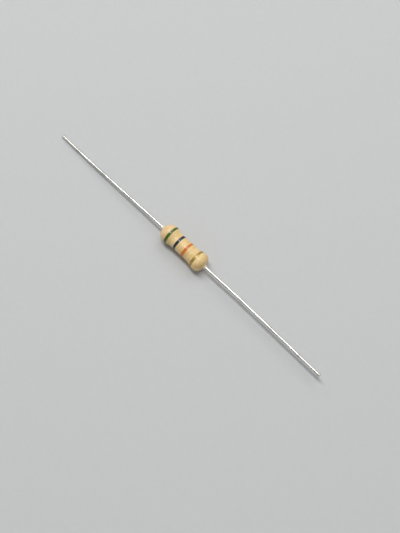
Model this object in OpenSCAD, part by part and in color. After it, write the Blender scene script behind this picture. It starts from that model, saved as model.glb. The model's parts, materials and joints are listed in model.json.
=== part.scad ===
// Axial carbon film resistor, half watt size, 56 kilohm with 5 % tolerance.
// It lies on a flat surface: the body axis runs along X, the surface is z = 0,
// and the origin is the point of that surface below the middle of the body.
// The green end of the colour code is towards -X, the gold end towards +X.

/* [Rod and film] */
// Length of the ceramic rod
core_len = 7.2; // [6:0.1:9]
// Radius of the ceramic rod
core_r = 1.02; // [0.8:0.01:1.3]
// Thickness of the carbon film, drawn much thicker than it is
film = 0.03; // [0.02:0.01:0.05]
// Turns of the groove that trims the film
groove_turns = 4; // [2:1:5]
// Width of that groove
groove_w = 0.2; // [0.1:0.05:0.3]
// Uncut film left between the groove and each cap
groove_margin = 0.2; // [0.1:0.05:0.4]

/* [End caps] */
// Wall of the pressed caps
cap_wall = 0.18; // [0.12:0.01:0.22]
// Depth to which a cap is pushed over the rod
cap_depth = 1.5; // [1.2:0.05:1.8]
// Radius on the closed edge of a cap
cap_edge_r = 0.15; // [0.05:0.01:0.18]

/* [Leads] */
// Diameter of the lead wire
lead_d = 0.5; // [0.4:0.05:0.6]
// Length of each lead outside the body, along the axis
lead_len = 24.7; // [15:0.1:38]
// Radius of the upset foot that is welded to the cap
weld_r = 0.45; // [0.36:0.01:0.6]
// Height of the welded foot
weld_h = 0.25; // [0.1:0.05:0.3]
// How much welding swells the wire above its foot, measured on the radius
weld_swell = 0.03; // [0.01:0.01:0.05]
// Straight wire between the lacquer and the bend in the green end's lead
bend_run = 0.65; // [0.3:0.05:3]

/* [Lacquer] */
// Thickness of the lacquer over the film, at the waist
waist_cover = 0.29; // [0.2:0.01:0.32]
// Greatest thickness over the side of the gold end's cap
gold_cover = 0.4; // [0.32:0.01:0.5]
// Length of lacquer between a cap's face and the end of the body
end_cover = 0.72; // [0.6:0.01:1]
// Distance of the green end's largest radius back from its cap's face
green_crown_back = 0.73; // [0.5:0.01:0.9]
// Distance of the gold end's largest radius back from its cap's face
gold_crown_back = 0.38; // [0.3:0.01:0.9]
// How far before a cap's lip the waist starts to swell
flare_run = 0.5; // [0.3:0.05:0.8]
// How square the ends are: 2 is elliptic, more is squarer
end_squareness = 2.3; // [2:0.1:2.6]
// Radius of the lacquer foot where it leaves the end of the body
foot_r = 0.44; // [0.36:0.01:0.5]
// Length that the lacquer foot creeps along the lead
foot_len = 0.45; // [0.2:0.05:0.8]
// Thickness of the lacquer foot at its thin edge
foot_edge = 0.02; // [0.02:0.01:0.05]

/* [Colour bands] */
// Width of a painted band
band_w = 0.45; // [0.3:0.05:0.55]
// Thickness of the paint
paint = 0.03; // [0.02:0.01:0.05]
// Middle of the green band, the first digit, from its end of the body
green_from_end = 1.68; // [1.5:0.01:1.9]
// Middle of the blue band, the second digit, from the middle of the body
blue_x = -1; // [-1.2:0.01:-0.8]
// Middle of the orange band, the multiplier, from the middle of the body
orange_x = 0.76; // [0.6:0.01:0.95]
// Middle of the gold band, the tolerance, from its end of the body
gold_from_end = 1.68; // [1.5:0.01:1.9]

/* [Hidden] */
$fn = 96;
lead_r = lead_d / 2;
core_half = core_len / 2;
film_r = core_r + film;
cap_r = film_r + cap_wall;
cap_lip_x = core_half - cap_depth;
cap_face_x = core_half + cap_wall;
body_half = cap_face_x + end_cover;
foot_tip_x = body_half + foot_len;
waist_r = film_r + waist_cover;
gold_crown_r = cap_r + gold_cover;
green_crown_x = cap_face_x - green_crown_back;
gold_crown_x = cap_face_x - gold_crown_back;
flare_x = cap_lip_x - flare_run;
green_x = green_from_end - body_half;
gold_x = body_half - gold_from_end;
groove_pitch = (2 * (cap_lip_x - groove_margin) - groove_w) / groove_turns;
// The gold end lies on its crown, or on its paint where that stands further out. The green end
// is smaller by the thickness of the paint that it lies on, so the body is level.
axis_z = max(gold_crown_r, end_r(gold_x + band_w / 2, gold_crown_x, gold_crown_r) + paint);
green_crown_r = axis_z - paint;
// The bent lead reaches as far out as the straight one, and its tip rests on the surface.
lead_reach = body_half + lead_len;
bend_x = foot_tip_x + bend_run;
bend_angle = atan2(axis_z - lead_r, lead_reach - bend_x);
straight_run = norm([lead_reach - bend_x, axis_z - lead_r]);
// Side of the block that cuts off a run at the bend.
bend_block = 8 * lead_r;
// Steps in one swelling, one domed end and one painted band.
flare_steps = 14;
dome_steps = 16;
band_steps = 5;
// Least distance between the edge of a band and the next step of the bare lacquer.
least_step = 0.01;
// Steps in one turn of the groove.
groove_steps = 32;
// How far a cutting shape runs past what it cuts.
past = 0.1;

// Lacquer of one end at the distance x from the middle: waist, swelling, then a domed end
// that is a superellipse from the crown to the foot.
function end_r(x, crown_x, crown_r) =
    x < flare_x ? waist_r
    : x < crown_x
        ? waist_r + (crown_r - waist_r) * (1 - cos(180 * (x - flare_x) / (crown_x - flare_x))) / 2
        : let (u = min((x - crown_x) / (body_half - crown_x), 1), n = end_squareness)
          foot_r + (crown_r - foot_r) * pow(1 - pow(u, n), 1 / n);

// Outside radius of the lacquer at x, with the green end at -X.
function coat_r(x) =
    x < 0 ? end_r(-x, green_crown_x, green_crown_r) : end_r(x, gold_crown_x, gold_crown_r);

// Evenly spaced stations from a to b, both included.
function stations(a, b, steps) = [for (i = [0:steps]) a + (b - a) * i / steps];

// Stations of one end, closer together where the dome turns steeply in.
function end_stations(crown_x) = concat(
    stations(flare_x, crown_x, flare_steps),
    [for (i = [1:dome_steps])
        crown_x + (body_half - crown_x) * pow(sin(90 * i / dome_steps), 2 / end_squareness)]);

// Stations of a band, which the lacquer shares so that paint and lacquer meet face to face.
function band_stations(x) = stations(x - band_w / 2, x + band_w / 2, band_steps);

// The values of v in rising order, each one once.
function sorted(v) =
    len(v) == 0 ? []
    : let (middle = v[floor(len(v) / 2)])
      concat(sorted([for (x = v) if (x < middle) x]), [middle], sorted([for (x = v) if (x > middle) x]));

// Points [radius, x] of the lacquer at the given stations.
function coat_points(xs) = [for (x = xs) [coat_r(x), x]];

// Outline of the whole lacquer, from the edge of one foot to the edge of the other.
function coat_outline() =
    let (bands = [green_x, blue_x, orange_x, gold_x],
         of_bands = [for (b = bands) each band_stations(b)],
         of_ends = concat(-end_stations(green_crown_x), end_stations(gold_crown_x)),
         apart = [for (x = of_ends) if (min([for (b = bands) abs(x - b)]) > band_w / 2 + least_step) x])
    concat([[lead_r + foot_edge, -foot_tip_x]], coat_points(sorted(concat(apart, of_bands))),
           [[lead_r + foot_edge, foot_tip_x]]);

// Puts what is drawn around Z onto the axis of the body, with its +Z towards +X.
module on_axis() {
    translate([0, 0, axis_z]) rotate([0, 90, 0]) children();
}

// Turns what is drawn for the gold end round to the green end.
module on_side(side) {
    mirror([side < 0 ? 1 : 0, 0, 0]) children();
}

module ceramic_core() {
    color("whitesmoke") on_axis() cylinder(h = core_len, r = core_r, center = true);
}

// Corner of the groove's cutter at a turn of t degrees: it winds along the rod as it turns,
// from below the film to above it, and from one edge of the groove to the other.
function groove_point(t, r, edge) =
    [r * cos(t), r * sin(t), groove_pitch * (t / 360 - groove_turns / 2) + edge * groove_w / 2];

// The four corners of the cutter at each step of its turn, closed by a face at either end.
module groove_cutter() {
    steps = groove_steps * groove_turns;
    inner = core_r - past;
    outer = film_r + past;
    points = [for (i = [0:steps]) let (t = 360 * i / groove_steps)
        each [groove_point(t, inner, -1), groove_point(t, outer, -1),
              groove_point(t, outer, 1), groove_point(t, inner, 1)]];
    sides = [for (i = [0:steps - 1], k = [0:3]) let (a = 4 * i + k, b = 4 * i + (k + 1) % 4)
        each [[a, b, b + 4], [a, b + 4, a + 4]]];
    last = 4 * steps;
    polyhedron(points, concat([[3, 2, 1, 0]], sides, [[last, last + 1, last + 2, last + 3]]));
}

module carbon_film() {
    color("dimgray") on_axis() difference() {
        cylinder(h = core_len, r = film_r, center = true);
        cylinder(h = core_len + 2 * past, r = core_r, center = true);
        groove_cutter();
    }
}

// A pressed steel cup over the end of the rod, with its closed edge rounded.
module end_cap(side) {
    color("silver") on_side(side) on_axis() difference() {
        union() {
            translate([0, 0, cap_lip_x]) cylinder(h = cap_face_x - cap_edge_r - cap_lip_x, r = cap_r);
            translate([0, 0, cap_lip_x]) cylinder(h = cap_face_x - cap_lip_x, r = cap_r - cap_edge_r);
            translate([0, 0, cap_face_x - cap_edge_r])
                rotate_extrude() translate([cap_r - cap_edge_r, 0]) circle(r = cap_edge_r);
        }
        translate([0, 0, cap_lip_x - past]) cylinder(h = cap_depth + past, r = film_r);
    }
}

module green_end_cap() {
    end_cap(-1);
}

module gold_end_cap() {
    end_cap(1);
}

// The welded foot on the cap, the wire that thins from there to where it leaves the lacquer,
// and the bare wire up to the distance end_x.
module lead_root(end_x) {
    swollen_r = lead_r + weld_swell;
    covered = foot_tip_x - cap_face_x - weld_h;
    on_axis() {
        translate([0, 0, cap_face_x]) cylinder(h = weld_h, r1 = weld_r, r2 = swollen_r);
        translate([0, 0, cap_face_x + weld_h]) cylinder(h = covered, r1 = swollen_r, r2 = lead_r);
        translate([0, 0, foot_tip_x]) cylinder(h = end_x - foot_tip_x, r = lead_r);
    }
}

module gold_lead() {
    color("silver") lead_root(lead_reach);
}

// What lies beyond the plane that halves the bend, or with side = -1 what lies before it.
module past_bend(side) {
    translate([bend_x, 0, axis_z]) rotate([0, bend_angle / 2, 0])
        translate([side * bend_block / 2, 0, 0]) cube(bend_block, center = true);
}

// The green end's lead bends down a little and rests with its tip on the surface. The two
// straight runs overshoot the bend and are cut off on the plane that halves it.
module green_lead() {
    color("silver") on_side(-1) {
        difference() {
            lead_root(bend_x + lead_r);
            past_bend(1);
        }
        difference() {
            translate([bend_x, 0, axis_z]) rotate([0, 90 + bend_angle, 0]) translate([0, 0, -lead_r])
                cylinder(h = straight_run + lead_r, r = lead_r);
            past_bend(-1);
        }
    }
}

// Everything that the lacquer is laid around.
module inside_of_lacquer() {
    on_axis() cylinder(h = core_len, r = film_r, center = true);
    for (side = [-1, 1]) {
        end_cap(side);
        on_side(side) lead_root(foot_tip_x + past);
    }
}

module lacquer_body() {
    closed = concat([[0, -foot_tip_x]], coat_outline(), [[0, foot_tip_x]]);
    color("burlywood") difference() {
        on_axis() rotate_extrude() polygon(closed);
        inside_of_lacquer();
    }
}

// A painted ring that follows the lacquer under it.
module painted_band(x) {
    inner = coat_points(band_stations(x));
    outer = [for (i = [len(inner) - 1:-1:0]) [inner[i][0] + paint, inner[i][1]]];
    on_axis() rotate_extrude() polygon(concat(inner, outer));
}

module green_band() {
    color("olivedrab") painted_band(green_x);
}

module blue_band() {
    color("darkslateblue") painted_band(blue_x);
}

module orange_band() {
    color("chocolate") painted_band(orange_x);
}

module gold_band() {
    color("darkgoldenrod") painted_band(gold_x);
}

ceramic_core();
carbon_film();
green_end_cap();
gold_end_cap();
green_lead();
gold_lead();
lacquer_body();
green_band();
blue_band();
orange_band();
gold_band();
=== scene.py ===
"""Looks of an axial carbon film resistor: dipped lacquer, painted rings and bright tinned wire."""
import json
import math

import bmesh
import bpy
from mathutils import Matrix, Vector, noise


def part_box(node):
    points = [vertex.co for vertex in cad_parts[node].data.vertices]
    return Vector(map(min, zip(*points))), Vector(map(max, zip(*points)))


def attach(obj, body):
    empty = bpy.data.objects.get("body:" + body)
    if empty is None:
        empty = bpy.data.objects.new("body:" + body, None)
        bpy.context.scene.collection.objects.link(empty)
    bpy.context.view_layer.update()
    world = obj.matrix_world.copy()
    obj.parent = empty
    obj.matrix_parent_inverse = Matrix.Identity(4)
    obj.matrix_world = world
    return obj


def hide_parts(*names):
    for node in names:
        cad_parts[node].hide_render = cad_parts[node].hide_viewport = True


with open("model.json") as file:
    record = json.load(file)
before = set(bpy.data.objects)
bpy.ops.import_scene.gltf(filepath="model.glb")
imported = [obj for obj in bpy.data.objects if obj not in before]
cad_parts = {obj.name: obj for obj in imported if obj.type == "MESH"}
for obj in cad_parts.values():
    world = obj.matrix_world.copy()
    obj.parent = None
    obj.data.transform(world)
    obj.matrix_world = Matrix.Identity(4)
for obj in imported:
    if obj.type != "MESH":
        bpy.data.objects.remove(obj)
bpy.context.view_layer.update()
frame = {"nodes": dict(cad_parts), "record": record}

MM = 0.001
FULL_TURN = 2 * math.pi
QUARTER_TURN = math.pi / 2
# Vertices nearer to each other than this, in millimetres, are one.
SAME_PLACE = 0.0001


# ---------------------------------------------------------------- sizes, in millimetres

def node_box(node):
    """Lowest and highest corner of a CAD node, in millimetres."""
    low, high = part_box(node)
    return low / MM, high / MM


def node_radius(node):
    """Radius of a CAD node that is round about the body's axis."""
    low, high = node_box(node)
    return (high.y - low.y) / 2


coat_low, coat_high = node_box("lacquer_body")
axis_z = (coat_low.z + coat_high.z) / 2
foot_tip_x = coat_high.x
film_r = node_radius("carbon_film")
cap_r = node_radius("gold_end_cap")
cap_low, cap_high = node_box("gold_end_cap")
cap_lip_x = cap_low.x
cap_face_x = cap_high.x
cap_edge_r = 0.15
weld_r = node_radius("gold_lead")
lead_reach = node_box("gold_lead")[1].x
lead_r = frame["record"]["mounts"][0]["dims"]["r_mm"]

# Thickness of the marking paint, and how deep each ring is rooted in the lacquer.
paint = 0.03
ring_root = 0.006
# Length of the lacquer foot on each wire, the radius where it starts on the end of the body, and
# its thickness where it ends.
foot_len = 0.45
foot_start_r = 0.72
foot_edge = 0.012
# The body without its feet, and the largest radius of each end with its distance from the middle.
body_half = foot_tip_x - foot_len
waist_r = node_radius("blue_band") - paint
gold_crown_r = node_radius("lacquer_body")
gold_crown_x = cap_face_x - 0.38
green_crown_r = axis_z - paint
green_crown_x = cap_face_x - 0.73
# Where the waist starts to swell, and where a domed end would meet the wire without its foot.
flare_x = cap_lip_x - 0.5
dome_foot_r = 0.44
# How square each domed end is: 2 is elliptic. The green end is a little more pointed.
gold_dome_power = 2.3
green_dome_power = 2.08
# Height of the welded foot, and how much welding swells the wire above it.
weld_h = 0.25
weld_swell = 0.03


def end_shape(side):
    """Place and radius of one end's crown, and how square its dome is."""
    if side > 0:
        return gold_crown_x, gold_crown_r, gold_dome_power
    return green_crown_x, green_crown_r, green_dome_power


def coat_radius(x):
    """Outside radius of the smooth lacquer: waist, swelling over a cap, then a domed end."""
    crown_x, crown_r, power = end_shape(x)
    x = abs(x)
    if x < flare_x:
        return waist_r
    if x < crown_x:
        rise = (1 - math.cos(math.pi * (x - flare_x) / (crown_x - flare_x))) / 2
        return waist_r + (crown_r - waist_r) * rise
    u = min((x - crown_x) / (body_half - crown_x), 1)
    return dome_foot_r + (crown_r - dome_foot_r) * (1 - u ** power) ** (1 / power)


# Depth of the long and the short waves that dipping leaves, their lengths along the body, and
# how lively they are around it: more is more waves to a turn.
long_wave = 0.014
long_wave_len = 2.6
long_wave_turns = 0.9
short_wave = 0.006
short_wave_len = 1.1
short_wave_turns = 1.71


def coat_wave(x, turn):
    """Depth of the waves in the lacquer. Never above zero, so they don't thicken it."""
    around = Vector((math.cos(turn), math.sin(turn), 0))
    slow = noise.noise(around * long_wave_turns + Vector((0, 0, x / long_wave_len)))
    # The offset takes the short waves from another part of the noise.
    quick = noise.noise(around * short_wave_turns + Vector((7.3, 2.1, x / short_wave_len)))
    return long_wave * slow + short_wave * quick - (long_wave + short_wave)


# ---------------------------------------------------------------- mesh helpers

def steps(a, b, count):
    """Evenly spaced values from a to b, both included."""
    return [a + (b - a) * i / count for i in range(count + 1)]


def spun(points, closed, axis, sides):
    """Spins a line of points, in metres, about an axis through the origin."""
    bm = bmesh.new()
    line = [bm.verts.new(point) for point in points]
    ends = line[1:] + line[:1] if closed else line[1:]
    edges = [bm.edges.new(pair) for pair in zip(line, ends)]
    bmesh.ops.spin(bm, geom=line + edges, cent=(0, 0, 0), axis=axis, angle=FULL_TURN,
                   steps=sides, use_merge=True)
    bmesh.ops.remove_doubles(bm, verts=bm.verts, dist=SAME_PLACE * MM)
    bmesh.ops.recalc_face_normals(bm, faces=bm.faces)
    return bm


def turned(outline, closed, sides):
    """Turns an outline of (x, radius) points, in millimetres, about the body's axis."""
    return spun([(x * MM, 0, r * MM) for x, r in outline], closed, (1, 0, 0), sides)


def reshape(bm, rule):
    """Moves every vertex to rule(x, radius, turn), all in millimetres and radians."""
    for v in bm.verts:
        turn = math.atan2(v.co.y, v.co.z)
        x, r = rule(v.co.x / MM, math.hypot(v.co.y, v.co.z) / MM, turn)
        v.co = Vector((x, r * math.sin(turn), r * math.cos(turn))) * MM


def new_object(name, bm, material):
    """Makes an object at the origin from a bmesh, smooth, with one material."""
    mesh = bpy.data.meshes.new(name)
    bm.to_mesh(mesh)
    bm.free()
    mesh.shade_smooth()
    mesh.materials.append(material)
    made = bpy.data.objects.new(name, mesh)
    bpy.context.scene.collection.objects.link(made)
    return made


def finish_piece(name, bm, stands_for, material):
    """Turns a bmesh drawn about the X axis into a finished piece at the body's height."""
    bmesh.ops.translate(bm, verts=bm.verts, vec=(0, 0, axis_z * MM))
    piece = new_object(name, bm, material)
    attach(piece, "root")
    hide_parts(stands_for)
    return piece


# ---------------------------------------------------------------- materials

# Makes a Mix node mix colours: they are its inputs 6 and 7, and the result is its output 2.
OF_COLOURS = {"data_type": "RGBA"}


def colour(hex_code):
    """An sRGB hex colour as the linear colour that the shader wants."""
    parts = [int(hex_code[i:i + 2], 16) / 255 for i in (1, 3, 5)]
    return [c / 12.92 if c <= 0.04045 else ((c + 0.055) / 1.055) ** 2.4 for c in parts] + [1]


def feed(tree, node, **inputs):
    """Fills a node's inputs with values or other nodes' outputs. In an input's name _ stands
    for a space, and i6 is input number 6."""
    for key, value in inputs.items():
        numbered = key[0] == "i" and key[1:].isdigit()
        socket = node.inputs[int(key[1:]) if numbered else key.replace("_", " ")]
        if isinstance(value, bpy.types.NodeSocket):
            tree.links.new(value, socket)
        else:
            socket.default_value = value


def add(tree, kind, settings=None, **inputs):
    """Adds a node with its settings, and feeds its inputs."""
    node = tree.nodes.new("ShaderNode" + kind)
    for key, value in (settings or {}).items():
        setattr(node, key, value)
    feed(tree, node, **inputs)
    return node


def new_material(name):
    """An empty material with its output, its shader and the object's own coordinates."""
    material = bpy.data.materials.new(name)
    material.use_nodes = True
    tree = material.node_tree
    tree.nodes.clear()
    shader = add(tree, "BsdfPrincipled")
    output = add(tree, "OutputMaterial", Surface=shader.outputs["BSDF"])
    output.is_active_output = True
    place = add(tree, "TexCoord").outputs["Object"]
    return material, tree, shader, place


def per(size_mm):
    """Noise scale that gives features of this size."""
    return 1 / (size_mm * MM)


def dipped_lacquer():
    """Beige epoxy lacquer, dipped and baked: an even semi-gloss skin with slow waves, fine
    filler grains that just show, and faint flow lines around the body. It is pinker where it is
    thick over the green cap, and paler where it thins out on the bright wires."""
    material, tree, shader, place = new_material("epoxy_lacquer_dipped")
    clouds = add(tree, "TexNoise", Vector=place, Scale=per(0.9), Detail=4.0, Roughness=0.6)
    around = add(tree, "Mapping", Vector=place, Scale=(per(0.4), per(1.3), per(1.3)))
    flow = add(tree, "TexNoise", Vector=around.outputs["Vector"], Scale=1.0, Detail=1.0)
    mottled = add(tree, "Math", {"operation": "MULTIPLY_ADD"}, i0=flow.outputs["Fac"], i1=0.5,
                  i2=clouds.outputs["Fac"])
    mottle = add(tree, "MapRange", Value=mottled.outputs[0], From_Min=0.5, From_Max=1.0)
    tone = add(tree, "Mix", OF_COLOURS, Factor=mottle.outputs["Result"],
               i6=colour("#D6B070"), i7=colour("#F2D79C"))

    # The filler's grains are nearer 0.03 mm, and are drawn at three times that so that they show.
    grains = add(tree, "TexNoise", Vector=place, Scale=per(0.09), Detail=2.0)
    grain_edge = add(tree, "MapRange", Value=grains.outputs["Fac"], From_Min=0.62, From_Max=0.85)
    speckled = add(tree, "Mix", OF_COLOURS, Factor=grain_edge.outputs["Result"],
                   i6=tone.outputs[2], i7=colour("#C09A60"))

    along = add(tree, "SeparateXYZ", Vector=place)
    thick = add(tree, "MapRange", Value=along.outputs["X"], From_Min=-2.6 * MM, From_Max=-4.2 * MM,
                To_Max=0.55)
    pinker = add(tree, "Mix", OF_COLOURS, Factor=thick.outputs["Result"],
                 i6=speckled.outputs[2], i7=colour("#E6C3A0"))
    from_middle = add(tree, "Math", {"operation": "ABSOLUTE"}, i0=along.outputs["X"])
    thin = add(tree, "MapRange", Value=from_middle.outputs[0], From_Min=(body_half - 0.06) * MM,
               From_Max=(foot_tip_x - 0.1) * MM, To_Max=0.85)
    over_wire = add(tree, "Mix", OF_COLOURS, Factor=thin.outputs["Result"],
                    i6=pinker.outputs[2], i7=colour("#F1E3CC"))

    gloss = add(tree, "MapRange", Value=clouds.outputs["Fac"], To_Min=0.42, To_Max=0.55)
    peel = add(tree, "TexNoise", Vector=place, Scale=per(0.45), Detail=1.0)
    skin = add(tree, "Bump", Height=peel.outputs["Fac"], Strength=0.2, Distance=0.008 * MM)
    fine = add(tree, "Bump", Height=grains.outputs["Fac"], Strength=0.25, Distance=0.0012 * MM,
               Normal=skin.outputs["Normal"])
    feed(tree, shader, Base_Color=over_wire.outputs[2], Roughness=gloss.outputs["Result"],
         Normal=fine.outputs["Normal"], Coat_Weight=0.2, Coat_Roughness=0.05)
    return material


def marking_paint(name, body, thin):
    """Marking paint rolled on in one turn: even colour, a little thinner in streaks that run
    around the body, under the same gloss as the lacquer."""
    material, tree, shader, place = new_material(name)
    stretched = add(tree, "Mapping", Vector=place, Scale=(per(0.07), per(1.2), per(1.2)))
    streaks = add(tree, "TexNoise", Vector=stretched.outputs["Vector"], Scale=1.0, Detail=3.0)
    worn = add(tree, "MapRange", Value=streaks.outputs["Fac"], From_Min=0.45, From_Max=0.8)
    tone = add(tree, "Mix", OF_COLOURS, Factor=worn.outputs["Result"],
               i6=colour(body), i7=colour(thin))
    relief = add(tree, "Bump", Height=streaks.outputs["Fac"], Strength=0.3, Distance=0.004 * MM)
    feed(tree, shader, Base_Color=tone.outputs[2], Normal=relief.outputs["Normal"], Roughness=0.5,
         Specular_IOR_Level=0.25, Coat_Weight=0.75, Coat_Roughness=0.06)
    return material


def gold_bronze_paint():
    """Gold bronze paint: brass flakes in clear binder, each flake coloured dark or bright at random
    as painted glints, so it shines dark and bright by turns.
    """
    material, tree, shader, place = new_material("gold_bronze_paint")
    # The flakes are as large as coarse bronze powder really is.
    flakes = add(tree, "TexVoronoi", Vector=place, Scale=per(0.035))
    lit = add(tree, "SeparateColor", Color=flakes.outputs["Color"])
    # Painted glints: each flake's colour is dark or bright, as if it caught the light or missed it.
    tone = add(tree, "Mix", OF_COLOURS, Factor=lit.outputs["Red"],
               i6=colour("#7E6226"), i7=colour("#E4C676"))
    gloss = add(tree, "MapRange", Value=lit.outputs["Green"], To_Min=0.44, To_Max=0.6)
    relief = add(tree, "Bump", Height=flakes.outputs["Distance"], Strength=0.3, Distance=0.004 * MM)
    feed(tree, shader, Base_Color=tone.outputs[2], Roughness=gloss.outputs["Result"],
         Normal=relief.outputs["Normal"], Metallic=1.0, Coat_Weight=0.4, Coat_Roughness=0.08)
    return material


def tinned_wire():
    """Hot tinned copper wire: bright white metal with faint lines along it from the drawing
    die, and duller patches where it was handled."""
    material, tree, shader, place = new_material("tinned_copper_wire")
    # The pattern follows the wire as it was before it was bent.
    drawn = add(tree, "Attribute", {"attribute_name": "as_drawn"}).outputs["Vector"]
    # A die leaves lines of about 0.01 mm. They are drawn several times as coarse, to show.
    stretched = add(tree, "Mapping", Vector=drawn, Scale=(per(5), per(0.07), per(0.07)))
    lines = add(tree, "TexNoise", Vector=stretched.outputs["Vector"], Scale=1.0, Detail=2.0)
    patches = add(tree, "TexNoise", Vector=drawn, Scale=per(2.2), Detail=3.0)
    dull = add(tree, "MapRange", Value=patches.outputs["Fac"], From_Min=0.4, From_Max=0.7)
    tone = add(tree, "Mix", OF_COLOURS, Factor=dull.outputs["Result"],
               i6=colour("#E6E4DF"), i7=colour("#BDBAB4"))
    gloss = add(tree, "MapRange", Value=dull.outputs["Result"], To_Min=0.26, To_Max=0.36)
    relief = add(tree, "Bump", Height=lines.outputs["Fac"], Strength=0.15, Distance=0.0015 * MM)
    feed(tree, shader, Base_Color=tone.outputs[2], Roughness=gloss.outputs["Result"],
         Normal=relief.outputs["Normal"], Metallic=1.0)
    return material


def sintered_alumina():
    """Sintered alumina ceramic: white, dry and matt, with a fine grain."""
    material, tree, shader, place = new_material("alumina_sintered")
    # The real grains are about 0.01 mm, and are drawn several times as coarse, to show.
    grain = add(tree, "TexNoise", Vector=place, Scale=per(0.06), Detail=3.0)
    tone = add(tree, "Mix", OF_COLOURS, Factor=grain.outputs["Fac"],
               i6=colour("#E6E2D6"), i7=colour("#F5F3EC"))
    relief = add(tree, "Bump", Height=grain.outputs["Fac"], Strength=0.4, Distance=0.004 * MM)
    feed(tree, shader, Base_Color=tone.outputs[2], Normal=relief.outputs["Normal"], Roughness=0.7)
    return material


def baked_carbon():
    """Pyrolytic carbon film: a dark grey deposit with a dull metallic sheen."""
    material, tree, shader, place = new_material("pyrolytic_carbon_film")
    cloud = add(tree, "TexNoise", Vector=place, Scale=per(0.5), Detail=4.0)
    tone = add(tree, "Mix", OF_COLOURS, Factor=cloud.outputs["Fac"],
               i6=colour("#2B2B2E"), i7=colour("#47474B"))
    feed(tree, shader, Base_Color=tone.outputs[2], Roughness=0.4, Metallic=0.35)
    return material


def pressed_tinned_steel():
    """Deep drawn and tinned steel: satin, with drawing lines along the wall of the cup."""
    material, tree, shader, place = new_material("tinned_steel_pressed")
    # The lines are drawn several times as coarse as the press leaves them, to show.
    stretched = add(tree, "Mapping", Vector=place, Scale=(per(1.5), per(0.06), per(0.06)))
    lines = add(tree, "TexNoise", Vector=stretched.outputs["Vector"], Scale=1.0, Detail=2.0)
    tone = add(tree, "Mix", OF_COLOURS, Factor=lines.outputs["Fac"],
               i6=colour("#BDBAB3"), i7=colour("#D8D5CE"))
    relief = add(tree, "Bump", Height=lines.outputs["Fac"], Strength=0.3, Distance=0.006 * MM)
    feed(tree, shader, Base_Color=tone.outputs[2], Normal=relief.outputs["Normal"], Metallic=1.0,
         Roughness=0.33)
    return material


def studio_paper():
    """Pale matt paper under the part."""
    material, tree, shader, place = new_material("studio_paper_matt")
    fibre = add(tree, "TexNoise", Vector=place, Scale=per(0.8), Detail=4.0)
    tone = add(tree, "Mix", OF_COLOURS, Factor=fibre.outputs["Fac"],
               i6=colour("#C3C4C4"), i7=colour("#C7C8C8"))
    feed(tree, shader, Base_Color=tone.outputs[2], Roughness=0.9)
    return material


# ---------------------------------------------------------------- lacquer

def foot_points(side):
    """Hollow curve of the lacquer from the end of the body down on to the wire."""
    crown_x, crown_r, power = end_shape(side)
    share = (foot_start_r - dome_foot_r) / (crown_r - dome_foot_r)
    start_x = crown_x + (body_half - crown_x) * (1 - share ** power) ** (1 / power)
    run = foot_tip_x - start_x
    fall = foot_start_r - lead_r - foot_edge
    return [(side * (start_x + run * (1 - math.cos(a))), foot_start_r - fall * math.sin(a))
            for a in steps(0, QUARTER_TURN, 14)]


def dome_points(side):
    """The domed end from its crown to just before its foot, closer together as it turns in."""
    crown_x, _, power = end_shape(side)
    length = body_half - crown_x
    places = [side * (crown_x + length * math.sin(a) ** (2 / power))
              for a in steps(0, QUARTER_TURN, 40)[1:]]
    return [(x, coat_radius(x)) for x in places if coat_radius(x) > foot_start_r + 0.02]


def cavity_points(side):
    """The hollow around the wire, the welded foot and the cap, from the foot's tip inwards."""
    # The middle of the cap's rounded edge lies about this far in from its corner.
    corner = 0.3 * cap_edge_r
    return [(side * x, r) for x, r in [
        (foot_tip_x, lead_r), (cap_face_x + weld_h, lead_r + weld_swell), (cap_face_x, weld_r),
        (cap_face_x, cap_r - cap_edge_r), (cap_face_x - corner, cap_r - corner),
        (cap_face_x - cap_edge_r, cap_r), (cap_lip_x, cap_r), (cap_lip_x, film_r)]]


def lacquer_coat():
    """The dipped coat, hollow where the rod, caps and wires are."""
    between = [(x, coat_radius(x)) for x in steps(-green_crown_x, gold_crown_x, 110)]
    green_end = foot_points(-1)[::-1] + dome_points(-1)[::-1]
    gold_end = dome_points(1) + foot_points(1)
    cavity = cavity_points(1) + cavity_points(-1)[::-1]
    bm = turned(green_end + between + gold_end + cavity, True, 192)
    # The waves are on the outside only, and die away before the feet.
    skin = 0.05
    fade_len = 0.4

    def waved(x, r, turn):
        if r < coat_radius(x) - skin or abs(x) > body_half - skin:
            return x, r
        fade = min(1, (body_half - abs(x)) / fade_len)
        return x, r + fade * coat_wave(x, turn)

    reshape(bm, waved)
    return finish_piece("lacquer_coat", bm, "lacquer_body", dipped_lacquer())


# ---------------------------------------------------------------- painted rings

# How far the edges of a ring wander, slowly and finely, and how far the paint spreads, and is
# raised as a share of its thickness, in the overlap where the roller finished its turn.
slow_wander = 0.04
fine_wander = 0.012
overlap_spread = 0.02
overlap_rise = 0.25
# Place of the overlap around the body, and its width, in radians.
overlap_turn = -2.2
overlap_width = 0.16


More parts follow.
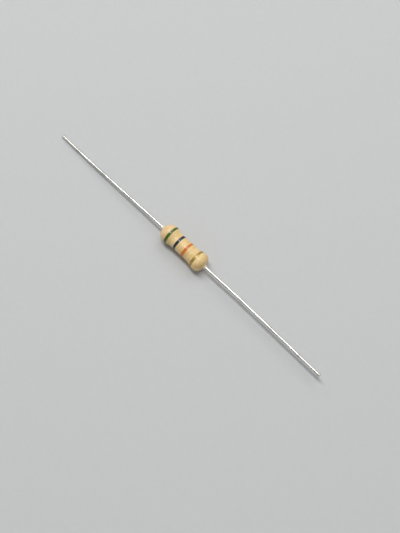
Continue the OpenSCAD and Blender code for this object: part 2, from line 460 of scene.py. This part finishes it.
def painted_ring(word, finish, seed, spread):
    """A ring of paint on the lacquer: domed across its width, with edges that wander a little
    and a short overlap where the roller finished its turn. Each edge stands further out by
    spread on the -Y side, where the roller pressed harder, and less far on the other side."""
    low, high = node_box(word + "_band")
    middle, half = (low.x + high.x) / 2, (high.x - low.x) / 2
    edges = [(-1, -ring_root), (1, -ring_root)]
    top = [(u, paint * (1 - abs(u) ** 6) ** 0.5) for u in steps(-1, 1, 22)]
    root = [(u, -ring_root) for u in steps(1, -1, 12)[1:-1]]
    outline = [(middle + half * u, coat_radius(middle + half * u) + rise)
               for u, rise in edges[:1] + top + edges[1:] + root]
    bm = turned(outline, True, 240)

    def wandering(x, r, turn):
        u = (x - middle) / half
        rise = r - coat_radius(x)
        around = Vector((math.cos(turn), math.sin(turn), 0))
        # The seed and the side of the ring pick a part of the noise of their own.
        edge = noise.noise(around * 1.3 + Vector((seed, 3 * math.copysign(1, u), 0)))
        fine = noise.noise(around * 9 + Vector((seed, 5 * math.copysign(1, u), 4)))
        overlap = math.exp(-((turn - overlap_turn) / overlap_width) ** 2)
        x += u * (slow_wander * edge + fine_wander * fine + overlap_spread * overlap
                  - spread * math.sin(turn))
        if rise > 0:
            rise *= 1 + overlap_rise * overlap
        return x, coat_radius(x) + coat_wave(x, turn) + rise

    reshape(bm, wandering)
    return finish_piece(word + "_ring", bm, word + "_band", finish)


# ---------------------------------------------------------------- wires

# How much the sheared tip is rounded over, and the length over which the cutter pinched it.
shear = 0.05
pinch_len = 0.5
# How far the pinch widens and flattens the tip, and how far it leans the cut, as shares.
pinch_wide = 0.1
pinch_flat = 0.08
pinch_lean = 0.12

# The green end's wire dips over a short bend and touches the surface with its tip.
dip_start = 5.2
dip_len = 1.4
# It is bowed sideways too, most of all beyond its middle.
bow_height = 0.09
bow_shift = 1.6
# The gold end's wire turns slightly aside and then back, where it was taken off its tape: the
# place where each bend starts, its length, and the slope that it gives.
aside_start = 6.2
aside_len = 2
aside_slope = 0.028
back_start = 9
back_len = 4
back_slope = 0.0385


def wire_outline():
    """Half section of a wire, from the middle of its welded foot to the middle of its cut end."""
    swollen_r = lead_r + weld_swell
    foot = [(cap_face_x + weld_h * (1 - math.cos(a)), weld_r - (weld_r - swollen_r) * math.sin(a))
            for a in steps(0, QUARTER_TURN, 8)]
    bare = [(x, lead_r) for x in steps(foot_tip_x, lead_reach - shear, 120)]
    cut = [(lead_reach - shear * (1 - math.sin(a)), lead_r - shear * (1 - math.cos(a)))
           for a in steps(0, QUARTER_TURN, 5)[1:]]
    return [(cap_face_x, 0)] + foot + bare + cut + [(lead_reach, 0)]


def bent_wire(name, node, side, sideways, down, finish):
    """A lead wire, shaped by how far it is bent sideways and down at each x."""
    bm = turned(wire_outline(), False, 48)
    straight = bm.verts.layers.float_vector.new("as_drawn")
    for v in bm.verts:
        v[straight] = v.co
        x = v.co.x / MM
        pinch = max(0, 1 - (lead_reach - x) / pinch_len) ** 2
        v.co.y *= 1 + pinch_wide * pinch
        v.co.z *= 1 - pinch_flat * pinch
        v.co.x += pinch_lean * pinch * v.co.z
        v.co.y += sideways(x) * MM
        v.co.z -= down(x) * MM
    if side < 0:
        half_turn = Matrix.Rotation(math.pi, 3, "Z")
        bmesh.ops.rotate(bm, verts=bm.verts, cent=(0, 0, 0), matrix=half_turn)
    return finish_piece(name, bm, node, finish)


def soft_kink(x, start, length):
    """Distance fallen at x on a slope of one that sets in smoothly over a length from start."""
    past = x - start
    if past <= 0:
        return 0
    return past * past / (2 * length) if past < length else past - length / 2


def green_dip(x):
    """How far the green end's wire is bent down at x: at its tip, on to the surface."""
    whole = soft_kink(lead_reach, dip_start, dip_len)
    return (axis_z - lead_r) * soft_kink(x, dip_start, dip_len) / whole


def green_bow(x):
    """How far the green end's wire is bowed sideways at x."""
    along = max(0, (x - foot_tip_x) / (lead_reach - foot_tip_x))
    return bow_height * math.sin(math.pi * along ** bow_shift)


def gold_dip(x):
    """The gold end's wire stays level."""
    return 0


def gold_kink(x):
    """How far the gold end's wire stands aside at x."""
    aside = aside_slope * soft_kink(x, aside_start, aside_len)
    return aside - back_slope * soft_kink(x, back_start, back_len)


# ---------------------------------------------------------------- the part

lacquer_coat()
painted_ring("green", marking_paint("green_marking_paint", "#3F5B08", "#5A7A1C"), 1.0, 0.03)
painted_ring("blue", marking_paint("blue_marking_paint", "#0E1B30", "#1E3049"), 2.0, 0)
painted_ring("orange", marking_paint("orange_marking_paint", "#CE680E", "#E09438"), 3.0, 0.04)
painted_ring("gold", gold_bronze_paint(), 4.0, 0.03)

bright_wire = tinned_wire()
bent_wire("green_end_wire", "green_lead", -1, green_bow, green_dip, bright_wire)
bent_wire("gold_end_wire", "gold_lead", 1, gold_kink, gold_dip, bright_wire)

cap_steel = pressed_tinned_steel()
inside = {"ceramic_core": sintered_alumina(), "carbon_film": baked_carbon(),
          "green_end_cap": cap_steel, "gold_end_cap": cap_steel}
for node, material in inside.items():
    slots = frame["nodes"][node].data.materials
    slots.clear()
    slots.append(material)


# ---------------------------------------------------------------- floor, light and camera, in metres

# The flat middle of the floor, the curve that turns it up at its rim, and the wall's height.
floor_r = 0.26
rim_r = 0.14
wall_h = 0.3
lens_mm = 50
nearest_seen = 0.005
# How steeply the camera looks down, and how far round it stands from the -Y side.
camera_elevation = math.radians(72.07)
camera_heading = math.radians(44.75)
camera_distance = 117.4 * MM
look_at = Vector((4.1, -0.49, axis_z)) * MM


def aim(thing, back, across, stand):
    """Puts a lamp or camera at stand, looking along -back, with its X as near across as can be."""
    back = back.normalized()
    right = (across - back * across.dot(back)).normalized()
    facing = Matrix((right, back.cross(right), back)).transposed().to_4x4()
    thing.matrix_world = Matrix.Translation(stand) @ facing


def lamp(name, direction, distance, size, power, tint):
    """A soft lamp that looks at the body, with its first size along the body."""
    data = bpy.data.lights.new(name, "AREA")
    data.shape = "RECTANGLE"
    data.size, data.size_y = size
    data.energy = power
    data.color = tint
    thing = bpy.data.objects.new(name, data)
    bpy.context.scene.collection.objects.link(thing)
    back = Vector(direction).normalized()
    aim(thing, back, Vector((1, 0, 0)), back * distance)


def studio_floor():
    """A round paper floor that curves up into a wall all round, well clear of the part."""
    rim = [(floor_r + rim_r * math.sin(a), 0, rim_r - rim_r * math.cos(a))
           for a in steps(0, QUARTER_TURN, 16)]
    outline = [(0, 0, 0)] + rim + [(floor_r + rim_r, 0, wall_h)]
    floor = new_object("floor", spun(outline, False, (0, 0, 1), 96), studio_paper())


studio_floor()
lamp("key", (-0.1, 0.6, 0.79), 0.5, (0.32, 0.32), 0.66, (1, 0.985, 0.96))
lamp("strip", (-0.3, 0.106, 0.947), 0.46, (0.4, 0.09), 1.3, (1, 1, 1))

world = bpy.data.worlds.new("studio")
world.use_nodes = True
sky = world.node_tree.nodes["Background"].inputs
sky["Color"].default_value = colour("#E9ECEF")
sky["Strength"].default_value = 0.3
bpy.context.scene.world = world
bpy.context.scene.view_settings.view_transform = "Standard"

camera_data = bpy.data.cameras.new("camera")
camera_data.lens = lens_mm
camera_data.clip_start = nearest_seen
camera = bpy.data.objects.new("camera", camera_data)
bpy.context.scene.collection.objects.link(camera)
level = math.cos(camera_elevation)
back = Vector((math.sin(camera_heading) * level, -math.cos(camera_heading) * level,
               math.sin(camera_elevation)))
aim(camera, back, Vector((0, 0, 1)).cross(back), look_at + back * camera_distance)
bpy.context.scene.camera = camera
